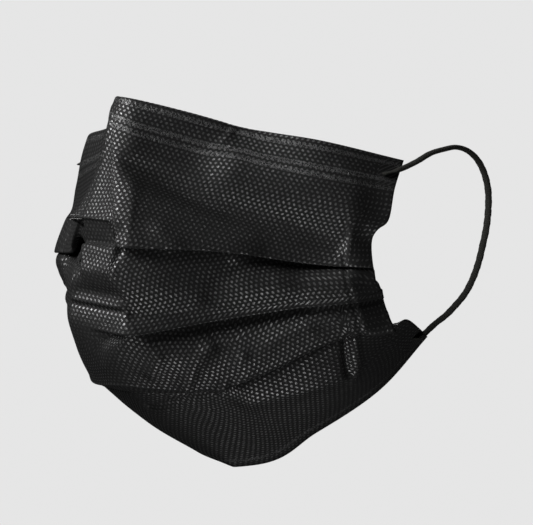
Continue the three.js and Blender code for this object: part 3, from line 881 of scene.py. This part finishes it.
def outer_material(look):
    """Black spunbond cloth: fibres, glossy bond dots and the welds of hem, side band and corners."""
    material, n = new_material("Black spunbond")
    place = n.map()
    edges = n.axes(n.map("edge_mm"))
    down = n.axes(place)["Y"]
    fibres = n.group(cloth_fibres(), Place=place)
    dots = n.group(bond_dots(), Place=place, Pitch=look.dot_pitch / MM, Row_Pitch=look.row_pitch / MM)
    welds = n.group(weld_blobs(), Place=place, Wander=0.5, **WELD_LATTICE)
    hatch_place = n.add("Mapping", {"Vector": place, "Rotation": (0, 0, HATCH_TURN)}).outputs[0]
    lines = n.axes(hatch_place)["X"]
    hatch = n.ramp(n.math("PINGPONG", lines, HATCH_HALF), 0.3, 0.45)

    side_band = n.ramp(edges["X"], look.band_width / MM - 0.4, look.band_width / MM, 1.0, 0.0)
    corners = []
    for from_edge, (solid, gone, start, end) in ((down, TOP_CORNER), (edges["Y"], LOW_CORNER)):
        near_side = n.ramp(edges["X"], solid, gone, 1.0, 0.0)
        corners.append(n.times(near_side, n.band(from_edge, start, end, CORNER_SOFT)))
    corner = n.most(*corners)
    rows = n.most(*[n.band(down, start, end, ROW_SOFT) for start, end in HEM_WELD_ROWS],
                  n.band(edges["Y"], *BOTTOM_WELD_ROW, ROW_SOFT))
    pressed = n.most(side_band, corner)
    plain = n.minus(1.0, n.most(pressed, n.times(rows, 0.35)))
    band_welds = n.times(welds["Blobs"], n.minus(side_band, corner, clamp=True))
    hem_welds = n.times(welds["Curls"], rows)
    hatch_welds = n.times(hatch, corner)
    shade = n.ramp(dots["Shade"], 0.0, 1.0, 0.55, 1.0)
    bonded = n.times(n.times(dots["Dots"], shade), plain)
    welded = n.most(band_welds, hem_welds, n.times(hatch_welds, 0.7))
    gloss = n.most(bonded, welded)

    fabric = n.blend(fibres["Fibres"], look.dark, look.light)
    clouded = n.blend(n.times(fibres["Cloud"], 0.4), fabric, look.dark)
    colour = n.blend(gloss, clouded, look.dot)
    pressed_in = n.minus(bonded, n.times(hem_welds, 1.6))
    height = n.plus(n.times(pressed_in, -look.dot_depth / MM),
                    n.times(fibres["Fibres"], look.fibre_height / MM))
    bump = n.bump(height)
    finish_material(n, {
        "Base Color": colour, "Roughness": n.ramp(gloss, 0.0, 1.0, 0.65, 0.5), "Normal": bump,
        "Specular IOR Level": 0.06,
        "Coat Weight": gloss, "Coat Roughness": 0.32, "Coat Normal": bump})
    return material


def lining_material(look):
    """White spunbond lining with small bond dots and its weld band at the sides."""
    material, n = new_material("White lining")
    place = n.map()
    edges = n.axes(n.map("edge_mm"))
    fibres = n.group(cloth_fibres(), Place=place)
    dots = n.group(bond_dots(), Place=place, Pitch=1.5, Row_Pitch=1.1, Length=0.6, Width=0.4)
    welds = n.group(weld_blobs(), Place=place, Wander=0.3, **WELD_LATTICE)
    side_band = n.ramp(edges["X"], *LINING_BAND, 1.0, 0.0)
    marks = n.most(n.times(welds["Blobs"], side_band),
                   n.times(dots["Dots"], n.minus(1.0, side_band)))
    fabric = n.blend(fibres["Fibres"], look.shade, look.colour)
    colour = n.blend(n.times(marks, 0.6), fabric, look.shade)
    height = n.plus(n.times(marks, -0.06), n.times(fibres["Fibres"], 0.03))
    bump = n.bump(height)
    finish_material(n, {
        "Base Color": colour, "Roughness": n.ramp(marks, 0.0, 1.0, 0.85, 0.5), "Normal": bump,
        "Specular IOR Level": 0.3, "Sheen Weight": 0.1})
    return material


def strip_material(look):
    """Milky plastic coat of the nose strip, scuffed along its length."""
    material, n = new_material("Strip plastic")
    place = n.map()
    drawn = n.add("Mapping", {"Vector": place, "Scale": (0.15, 5.0, 1)}).outputs[0]
    lines = n.noise(drawn, 1.0, 3.0)
    grain = n.noise(place, 2.5, 2.0)
    colour = n.blend(n.ramp(lines, 0.35, 0.65), look.shade, look.colour)
    height = n.plus(n.times(lines, 0.05), n.times(grain, 0.02))
    bump = n.bump(height)
    finish_material(n, {
        "Base Color": colour, "Roughness": n.ramp(grain, 0.3, 0.7, 0.38, 0.55), "Normal": bump})
    return material


def loop_material(look):
    """Matt black knitted elastic with fine slanting stitches, a painted highlight on their tops and painted
    shade between them.
    """
    material, n = new_material("Knit elastic")
    place = n.map()
    fibres = n.group(cloth_fibres(), Place=place)
    axes = n.axes(place)
    half_stitch = look.stitch_length / MM / 2
    half_rib = look.rib_width / MM / 2
    slant = n.times(n.math("PINGPONG", axes["Y"], 2 * half_rib), 0.9)
    stitches = n.ramp(n.math("PINGPONG", n.plus(axes["X"], slant), half_stitch), 0.0, half_stitch)
    ribs = n.ramp(n.math("PINGPONG", axes["Y"], half_rib), 0.0, half_rib)
    raised = n.times(stitches, ribs)
    # Painted highlight and shade: the colour follows the stitch height, lighter on the raised tops and darker
    # in the gaps, broken up by the fibres.
    worn = n.times(raised, n.math("MULTIPLY_ADD", fibres["Fibres"], 0.6, 0.4))
    colour = n.blend(worn, look.dark, look.light)
    height = n.plus(n.times(raised, 0.12), n.times(fibres["Fibres"], 0.05))
    bump = n.bump(height, 0.8)
    finish_material(n, {
        "Base Color": colour, "Roughness": n.ramp(raised, 0.0, 1.0, 0.95, 0.75), "Normal": bump,
        "Specular IOR Level": 0.1})
    return material


def floor_material(look):
    """Pale matt floor that fades out towards its rim and isn't seen from below."""
    material, n = new_material("Pale floor")
    place = n.add("TexCoord").outputs["Object"]
    far = n.add("VectorMath", {0: place}, operation="LENGTH").outputs["Value"]
    speckle = n.noise(place, 60.0, 4.0)
    colour = n.blend(n.ramp(speckle, 0.3, 0.7), look.floor_shade, look.floor_colour)
    shown = n.ramp(far, *(share * look.floor_radius for share in FLOOR_FADE), 1.0, 0.0)
    above = n.minus(1.0, n.add("NewGeometry").outputs["Backfacing"])
    finish_material(n, {
        "Base Color": colour, "Roughness": n.ramp(speckle, 0.0, 1.0, 0.8, 0.95),
        "Alpha": n.times(shown, above)})
    return material


# ---- pieces ------------------------------------------------------------------------
def seat(piece, material, node):
    """Puts the piece in the place of its construction node."""
    piece.data.materials.append(material)
    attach(piece, BODY)
    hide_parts(node)


def weld_points(welds, from_bottom, out):
    """Points on the front of the cloth where an ear loop is welded down."""
    form = Form(sorted(share for share, _ in welds))
    points = []
    for share, distance in welds:
        column = int(np.argmin(np.abs(form.across - share)))
        down = form.length(column) - distance if from_bottom else distance
        points.append(form.place(column, np.array([[down, out]]))[0])
    return points


def loop_path(out):
    """Dense path of the left ear loop and the distance along it at each point."""
    route = np.array(weld_points(UPPER_WELD, False, out) + [np.array(p) for p in LOOP_ROUTE]
                     + weld_points(LOWER_WELD, True, out))
    reach = distance_along(route)
    along = np.linspace(0, reach[-1], LOOP_RINGS)
    return smooth_through(reach, route, along), along


def build_loop(name, side, look, material):
    """One ear loop, flattened where it is welded to the cloth."""
    thick = look.thickness / MM
    rest_share, rest_gap = LOOP_REST
    path, along = loop_path(thick * rest_share + rest_gap)
    path = path * (side, 1, 1)
    from_end = np.minimum(along, along[-1] - along)
    flat, easing, wider, thinner = PRESSED_ENDS
    pressed = 1 - smooth_step((from_end - flat) / easing)
    slow, turn, wander, wander_turn = SLOW_RIPPLE
    fine, fine_turn = FINE_RIPPLE
    ripple = 1 + slow * np.sin(along * turn + wander * np.sin(along * wander_turn))
    ripple += fine * np.sin(along * fine_turn)
    wide = look.width / MM * ripple * (1 + wider * pressed)
    thickness = thick * (1 - thinner * pressed)
    piece = tube_piece(name, path, wide, thickness, np.array([1.0, 0.0, 0.0]), LOOP_SIDES)
    seat(piece, material, name)


def build_strip(look):
    """Nose strip: two wires in a thin plastic web, bent over the nose between cloth and hem."""
    form = Form(np.linspace(-STRIP_REACH, STRIP_REACH, STRIP_COLUMNS + 1))
    half_width, half_thick = look.width / MM / 2, look.thickness / MM / 2
    over = np.linspace(-1, 1, STRIP_POINTS)
    wires = np.exp(-((np.abs(over) - WIRE_PLACE) / WIRE_SPREAD) ** 2)
    rim = np.sqrt(np.clip(1 - np.abs(over) ** STRIP_ROUNDING, 0, 1))
    height = half_thick * rim * mix(STRIP_WEB, 1, wires)
    section = np.concatenate([np.stack([over * half_width, height], axis=1),
                              np.stack([over[::-1] * half_width, -height[::-1]], axis=1)[1:-1]])
    placed = section + (STRIP_DROP, -STRIP_BEHIND)
    rings = np.array([form.place(column, placed) for column in range(len(form.across))])
    along = arc_length(rings, 0)
    around = np.broadcast_to(section[None, :, 0], along.shape)
    return add_piece("nose_strip", rings.reshape(-1, 3), tube_faces(*rings.shape[:2]),
                     {"cloth_mm": np.stack([along, around], axis=2).reshape(-1, 2)})


def way_from(azimuth, height):
    """Direction towards a place seen at that azimuth from the front and height above the horizon."""
    turn, rise = math.radians(azimuth), math.radians(height)
    return Vector((math.sin(turn) * math.cos(rise), -math.cos(turn) * math.cos(rise), math.sin(rise)))


def add_aimed(name, data, aim, way, far):
    """Object at a distance from the aim, looking at it."""
    obj = bpy.data.objects.new(name, data)
    obj.location = aim + way * far
    obj.rotation_mode = "QUATERNION"
    obj.rotation_quaternion = (-way).to_track_quat("-Z", "Y")
    bpy.context.scene.collection.objects.link(obj)
    return obj


def build_world(look):
    """Even pale backdrop, and a weaker even light from all round."""
    world = bpy.data.worlds.new("Studio")
    bpy.context.scene.world = world
    world.use_nodes = True
    world.node_tree.nodes.clear()
    n = Nodes(world.node_tree)
    seen = n.add("Background", {"Color": look.backdrop, "Strength": 1.0})
    cast = n.add("Background", {"Color": (1, 1, 1, 1), "Strength": look.ambient})
    path = n.add("LightPath")
    mixed = n.add("MixShader", {0: path.outputs["Is Camera Ray"], 1: cast.outputs[0], 2: seen.outputs[0]})
    n.put(n.add("OutputWorld").inputs["Surface"], mixed.outputs[0])


# ---- settings ----------------------------------------------------------------------
def colour_setting(label, about, default):
    return bpy.props.FloatVectorProperty(name=label, description=about, default=default, size=4,
                                         subtype="COLOR", min=0, max=1)


def length_setting(label, about, default):
    return bpy.props.FloatProperty(name=label, description=about, default=default, unit="LENGTH",
                                   min=0, precision=5)


def number_setting(label, about, default):
    return bpy.props.FloatProperty(name=label, description=about, default=default, min=0)


class MaskCloth(bpy.types.PropertyGroup):
    thickness: length_setting("Thickness", "Thickness of the folded cloth", 0.0003)
    flat_width: length_setting("Flat width", "Width that the cloth is cut to", 0.175)
    flat_length: length_setting("Flat length", "Length that the cloth is cut to before pleating", 0.17)
    dot_pitch: length_setting("Dot pitch", "Step between bond dots along a row", 0.00162)
    row_pitch: length_setting("Row pitch", "Step between rows of bond dots", 0.00118)
    dot_depth: length_setting("Dot depth", "How far a bond dot is pressed in", 0.00005)
    fibre_height: length_setting("Fibre height", "How far the fibres stand up", 0.00003)
    band_width: length_setting("Side band", "Width of the weld band at both sides", 0.009)
    dark: colour_setting("Cloth, dark", "Colour between the fibres", grey(0.002))
    light: colour_setting("Cloth, light", "Colour of the fibres", grey(0.007))
    dot: colour_setting("Bond dots", "Colour of the bond dots", grey(0.008))


class MaskLining(bpy.types.PropertyGroup):
    thickness: length_setting("Thickness", "Thickness of the lining", 0.0002)
    flat_width: length_setting("Flat width", "Width that the lining is cut to", 0.171)
    flat_length: length_setting("Flat length", "Length that the lining is cut to before pleating", 0.15)
    colour: colour_setting("Colour", "Colour of the fibres", (0.62, 0.62, 0.61, 1))
    shade: colour_setting("Shade", "Colour between the fibres", (0.46, 0.46, 0.46, 1))


class MaskStrip(bpy.types.PropertyGroup):
    width: length_setting("Width", "Width of the nose strip", 0.004)
    thickness: length_setting("Thickness", "Thickness of the nose strip over its wires", 0.0008)
    colour: colour_setting("Colour", "Colour of the plastic", (0.55, 0.56, 0.57, 1))
    shade: colour_setting("Shade", "Colour of its scuffs", (0.42, 0.43, 0.44, 1))


class MaskLoops(bpy.types.PropertyGroup):
    width: length_setting("Width", "Width of the elastic", 0.0023)
    thickness: length_setting("Thickness", "Thickness of the elastic", 0.0015)
    length: length_setting("Length", "Length of each ear loop", 0.108)
    rib_width: length_setting("Rib width", "Width of one rib of the knit", 0.0006)
    stitch_length: length_setting("Stitch length", "Length of one stitch", 0.0007)
    # Colours in the gaps and on the stitches: painted shade in the gaps, a painted highlight on the raised
    # tops.
    dark: colour_setting("Dark", "Colour between the stitches", (0.003, 0.003, 0.0025, 1))
    light: colour_setting("Light", "Colour of the stitches", (0.011, 0.011, 0.009, 1))


class MaskStage(bpy.types.PropertyGroup):
    azimuth: number_setting("Azimuth", "Camera's place round the mask from the front, in degrees", 38.0)
    height: number_setting("Height", "Camera's height above the horizon, in degrees", 3.5)
    distance: length_setting("Distance", "Camera's distance", 1.3)
    lens: number_setting("Lens", "Focal length in millimetres", 295.0)
    key: number_setting("Key light", "Power of the key light in watts", 54.0)
    ambient: number_setting("Ambient", "Strength of the even light from all round", 0.01)
    backdrop: colour_setting("Backdrop", "Colour behind the mask", grey(0.79))
    floor_drop: length_setting("Floor drop", "Floor's depth below the origin", 1.2)
    floor_radius: length_setting("Floor radius", "Radius of the floor", 0.6)
    floor_colour: colour_setting("Floor", "Colour of the floor", grey(0.8))
    floor_shade: colour_setting("Floor shade", "Darker specks of the floor", grey(0.72))


# ---- operators ---------------------------------------------------------------------
class MASK_OT_stage(bpy.types.Operator):
    """Make the camera, the soft lights, the backdrop and the floor"""
    bl_idname = "mask.stage"
    bl_label = "Stage"

    def execute(self, context):
        look = context.scene.mask_stage
        aim = Vector(CAMERA_AIM) * MM
        data = bpy.data.cameras.new("Camera")
        data.sensor_width = SENSOR
        data.lens = look.lens
        data.clip_start = NEAR_CLIP
        way = way_from(look.azimuth, look.height)
        context.scene.camera = add_aimed("Camera", data, aim, way, look.distance)
        build_world(look)
        for name, azimuth, height, far, size, share in SOFT_BOXES:
            light = bpy.data.lights.new(name, "AREA")
            light.size = size
            light.energy = look.key * share
            add_aimed(name, light, aim, way_from(azimuth, height), far).visible_camera = False
        angle = np.arange(FLOOR_SIDES) / FLOOR_SIDES * 2 * math.pi
        rim = np.stack([np.cos(angle), np.sin(angle), 0 * angle], axis=1) * look.floor_radius / MM
        floor = add_piece("floor", rim, [range(len(rim))], {})
        floor.location = (aim.x, aim.y, -look.floor_drop)
        floor.data.materials.append(floor_material(look))
        context.scene.view_settings.view_transform = "Standard"
        return {"FINISHED"}


class MASK_OT_ear_loops(bpy.types.Operator):
    """Make both ear loops"""
    bl_idname = "mask.ear_loops"
    bl_label = "Ear Loops"

    def execute(self, context):
        look = context.scene.mask_loops
        material = loop_material(look)
        for name, side in (("ear_loop_left", 1), ("ear_loop_right", -1)):
            build_loop(name, side, look, material)
        return {"FINISHED"}


class MASK_OT_outer_cloth(bpy.types.Operator):
    """Make the pleated outer cloth with its turned hem"""
    bl_idname = "mask.outer_cloth"
    bl_label = "Outer Cloth"

    def execute(self, context):
        look = context.scene.mask_cloth
        piece = sheet_piece("outer_cloth", Form(spans(COLUMN_SPANS)), cloth_knots, look.thickness / MM)
        seat(piece, outer_material(look), "outer_ply")
        return {"FINISHED"}


class MASK_OT_lining(bpy.types.Operator):
    """Make the pleated lining behind the outer cloth"""
    bl_idname = "mask.lining"
    bl_label = "Lining"

    def execute(self, context):
        look = context.scene.mask_lining
        across = [share for share in spans(COLUMN_SPANS) if abs(share) <= LINING_REACH]
        piece = sheet_piece("lining", Form(across), lining_knots, look.thickness / MM, LINING_BEHIND)
        seat(piece, lining_material(look), "inner_ply")
        return {"FINISHED"}


class MASK_OT_nose_strip(bpy.types.Operator):
    """Make the nose strip between the cloth and the turned hem"""
    bl_idname = "mask.nose_strip"
    bl_label = "Nose Strip"

    def execute(self, context):
        look = context.scene.mask_strip
        seat(build_strip(look), strip_material(look), "nose_wire")
        return {"FINISHED"}


class MASK_PT_settings(bpy.types.Panel):
    """Sizes and colours of the mask, with a button for each piece"""
    bl_idname = "MASK_PT_settings"
    bl_label = "Pleated Mask"
    bl_space_type = "VIEW_3D"
    bl_region_type = "UI"
    bl_category = "Mask"

    def draw(self, context):
        for setting, group, operator in PARTS:
            box = self.layout.box()
            box.label(text=operator.bl_label)
            for name in group.__annotations__:
                box.prop(getattr(context.scene, setting), name)
            box.operator(operator.bl_idname)


PARTS = (
    ("mask_stage", MaskStage, MASK_OT_stage),
    ("mask_loops", MaskLoops, MASK_OT_ear_loops),
    ("mask_cloth", MaskCloth, MASK_OT_outer_cloth),
    ("mask_lining", MaskLining, MASK_OT_lining),
    ("mask_strip", MaskStrip, MASK_OT_nose_strip),
)


def register():
    for setting, group, operator in PARTS:
        bpy.utils.register_class(group)
        bpy.utils.register_class(operator)
        setattr(bpy.types.Scene, setting, bpy.props.PointerProperty(type=group))
    bpy.utils.register_class(MASK_PT_settings)


def unregister():
    bpy.utils.unregister_class(MASK_PT_settings)
    for setting, group, operator in reversed(PARTS):
        delattr(bpy.types.Scene, setting)
        bpy.utils.unregister_class(operator)
        bpy.utils.unregister_class(group)


def main():
    register()
    bpy.ops.mask.stage()
    bpy.ops.mask.ear_loops()
    bpy.ops.mask.outer_cloth()
    bpy.ops.mask.lining()
    bpy.ops.mask.nose_strip()


if __name__ == "__main__":
    main()
